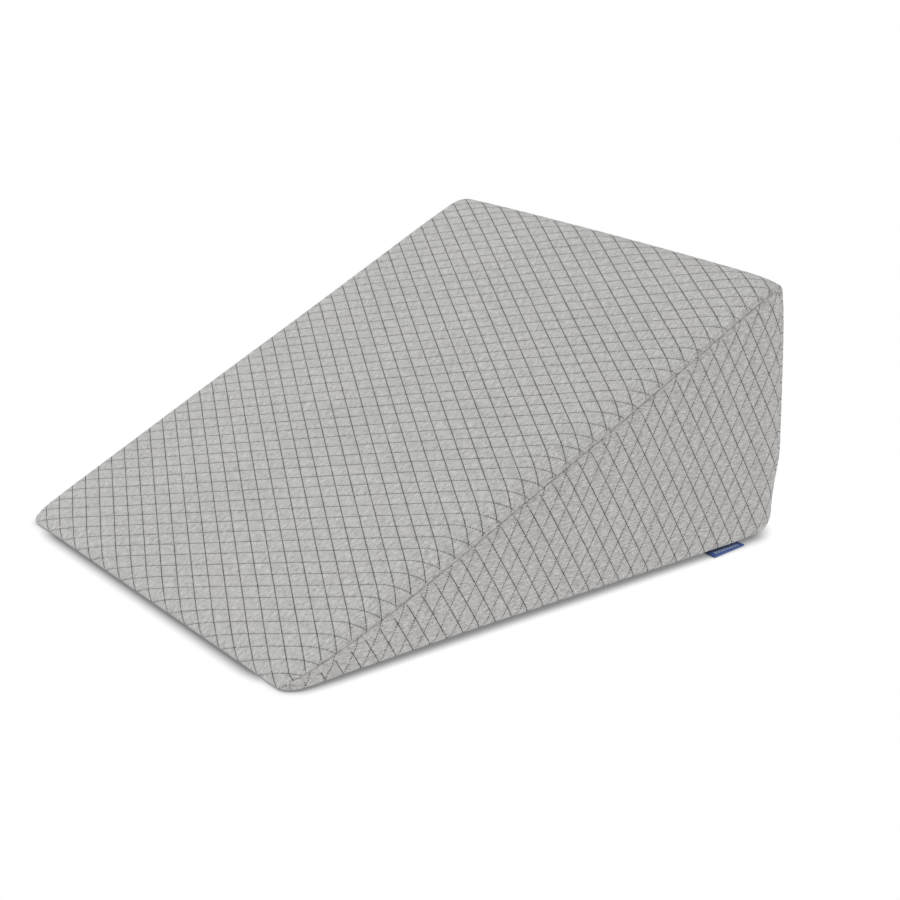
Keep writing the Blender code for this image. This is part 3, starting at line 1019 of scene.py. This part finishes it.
class WEDGE_OT_yarn(bpy.types.Operator):
    """Add the yarn lines that cross between the quilted diamonds"""

    bl_idname = "wedge.yarn"
    bl_label = "Yarn Lines"

    def execute(self, context):
        settings = context.scene.wedge_yarn
        cushion = context.scene.wedge_cushion
        cover = Cover(cushion.puff, cushion.seam_depth)
        material = yarn_material(settings.colour)
        strip, side = ("slope", "back", "nose"), ("right", "left")
        groups = (
            ("strip_lines_close", strip, 0, settings.pitch, settings.close_share),
            ("strip_lines_open", strip, 1, settings.pitch, settings.open_share),
            ("side_lines_close", side, 0, settings.side_pitch, settings.close_share),
            ("side_lines_open", side, 1, settings.side_pitch, settings.open_share),
        )
        for name, charts, family, pitch, share in groups:
            size = (share * pitch, settings.width, settings.thickness)
            made = build_stitches(name, cover, charts, family, pitch, *size, material)
            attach(made, "root")
        return {"FINISHED"}


class WEDGE_OT_tab(bpy.types.Operator):
    """Add the folded ribbon tab at the side panel's lower seam"""

    bl_idname = "wedge.tab"
    bl_label = "Folded Tab"

    def execute(self, context):
        settings = context.scene.wedge_tab
        middle_y = (TAB_LOW.y + TAB_HIGH.y) / 2 - settings.forward
        ribbon = ribbon_material(settings.colour, settings.pale, middle_y)
        made, length = build_tab(settings, ribbon)
        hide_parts("side_label")
        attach(made, "root")
        return {"FINISHED"}


class WEDGE_OT_studio(bpy.types.Operator):
    """Add the pale floor, the soft light and the camera"""

    bl_idname = "wedge.studio"
    bl_label = "Studio"

    def execute(self, context):
        settings = context.scene.wedge_studio
        pale_floor()
        soft_world(context.scene)
        soft_lamp("window_lamp", (-2.6, -2.2, 3.4), 3.0, 56, (1, 1, 1))
        soft_lamp("warm_lamp", (3.2, 1.2, 1.5), 2.5, 7, (1.0, 0.62, 0.55))
        place_camera(context.scene, settings)
        context.scene.view_settings.view_transform = "Standard"
        return {"FINISHED"}


def pale_floor():
    """A wide white floor with the soft shadow of the cushion's footprint."""
    bpy.ops.object.select_all(action="DESELECT")
    bpy.ops.mesh.primitive_plane_add(size=FLOOR_SIZE, location=(0, 0, -FLOOR_GAP))
    floor = bpy.context.object
    floor.name = "pale_floor"
    bpy.ops.object.transform_apply(location=True, rotation=True, scale=True)
    material = bpy.data.materials.new("pale_floor")
    n = Nodes(material)
    nearby = n.add("ShaderNodeAmbientOcclusion", samples=16, only_local=False)
    n.fix(nearby, {"Distance": CONTACT_REACH})
    under = n.spread(nearby.outputs["AO"], 0.15, 0.95, SHADOW_TONE, 1.0, smooth=False)
    # the shadow round the footprint
    parts = n.split(n.place())
    reaches = []
    for output, edge, rate in ((0, SHADOW_X, SHADOW_RATE), (1, SHADOW_Y, 1.0)):
        out = n.value("SUBTRACT", n.value("ABSOLUTE", parts[output]), edge)
        out = n.value("ADD", n.value("MULTIPLY", out, rate), SHADOW_CORNER)
        reaches.append(n.value("POWER", n.value("MAXIMUM", out, 0.0), 2.0))
    away = n.value("SUBTRACT", n.value("SQRT", n.value("ADD", *reaches)), SHADOW_CORNER)
    near = n.spread(away, 0.0, SHADOW_SIZE, 1.0, 0.0, smooth=False)
    dark = n.value("MULTIPLY", n.value("POWER", near, SHADOW_FADE), 1 - SHADOW_TONE)
    shade = n.value("SUBTRACT", 1.0, dark)
    shade = n.value("MINIMUM", shade, under)
    glow = n.add("ShaderNodeEmission")
    n.join(shade, glow.inputs["Strength"])
    output = n.tree.nodes["Material Output"]
    n.join(glow.outputs[0], output.inputs["Surface"])
    n.tree.nodes.remove(n.shader)
    floor.data.materials.append(material)
    return floor


def soft_world(scene):
    """Even light from all round, a little brighter from above. Where it is seen itself it is white."""
    world = bpy.data.worlds.new("soft_studio")
    scene.world = world
    n = Nodes(world)
    light = n.tree.nodes["Background"]
    rise = n.split(n.place("Generated"))["Z"]
    n.join(n.spread(rise, 0.0, 1.0, *WORLD_LIGHT, smooth=False), light.inputs["Strength"])
    seen = n.add("ShaderNodeBackground")
    for background in (light, seen):
        n.fix(background, {"Color": (1, 1, 1, 1)})
    mixed = n.add("ShaderNodeMixShader")
    from_camera = n.add("ShaderNodeLightPath").outputs["Is Camera Ray"]
    for source, target in zip((from_camera, light.outputs[0], seen.outputs[0]), mixed.inputs):
        n.join(source, target)
    n.join(mixed.outputs[0], n.tree.nodes["World Output"].inputs["Surface"])


def soft_lamp(name, place, size, power, colour):
    """A round soft lamp that shines at the pillow."""
    lamp = bpy.data.lights.new(name, "AREA")
    lamp.shape = "DISK"
    lamp.size = size
    lamp.energy = power
    lamp.color = colour
    made = bpy.data.objects.new(name, lamp)
    bpy.context.collection.objects.link(made)
    made.location = place
    made.rotation_euler = Vector(place).to_track_quat("Z", "Y").to_euler()


def place_camera(scene, settings):
    """Stands the camera where the outline of the pillow fits its picture."""
    turn, rise = settings.azimuth, settings.elevation
    away = Vector((math.sin(turn) * math.cos(rise), -math.cos(turn) * math.cos(rise), math.sin(rise)))
    right = Vector((0, 0, 1)).cross(away).normalized()
    above = away.cross(right)
    cos_roll, sin_roll = math.cos(settings.roll), math.sin(settings.roll)
    right, above = cos_roll * right + sin_roll * above, cos_roll * above - sin_roll * right
    camera = bpy.data.cameras.new("camera")
    camera.sensor_width = SENSOR
    camera.lens = settings.focal_pixels / FRAME_PIXELS * SENSOR
    made = bpy.data.objects.new("camera", camera)
    bpy.context.collection.objects.link(made)
    turned = Matrix((right, above, away)).transposed().to_4x4()
    turned.translation = settings.offset[0] * right + settings.offset[1] * above + settings.distance * away
    made.matrix_world = turned
    scene.camera = made


class WEDGE_PT_panel(bpy.types.Panel):
    """Sizes, colours and buttons of the wedge pillow"""

    bl_idname = "WEDGE_PT_panel"
    bl_label = "Wedge Pillow"
    bl_space_type = "VIEW_3D"
    bl_region_type = "UI"
    bl_category = "Wedge Pillow"

    def draw(self, context):
        for operator, _, group in STEPS:
            box = self.layout.box()
            box.operator(operator.bl_idname)
            settings = getattr(context.scene, group)
            for name in settings.__annotations__:
                box.prop(settings, name)


# In the order in which they run: operator, its settings and their name on the scene
STEPS = (
    (WEDGE_OT_cushion, CushionSettings, "wedge_cushion"),
    (WEDGE_OT_yarn, YarnSettings, "wedge_yarn"),
    (WEDGE_OT_tab, TabSettings, "wedge_tab"),
    (WEDGE_OT_studio, StudioSettings, "wedge_studio"),
)


def register():
    for operator, settings, name in STEPS:
        bpy.utils.register_class(settings)
        bpy.utils.register_class(operator)
        setattr(bpy.types.Scene, name, bpy.props.PointerProperty(type=settings))
    bpy.utils.register_class(WEDGE_PT_panel)


def unregister():
    bpy.utils.unregister_class(WEDGE_PT_panel)
    for operator, settings, name in reversed(STEPS):
        delattr(bpy.types.Scene, name)
        bpy.utils.unregister_class(operator)
        bpy.utils.unregister_class(settings)


def main():
    register()
    bpy.ops.wedge.cushion()
    bpy.ops.wedge.yarn()
    bpy.ops.wedge.tab()
    bpy.ops.wedge.studio()


if __name__ == "__main__":
    main()
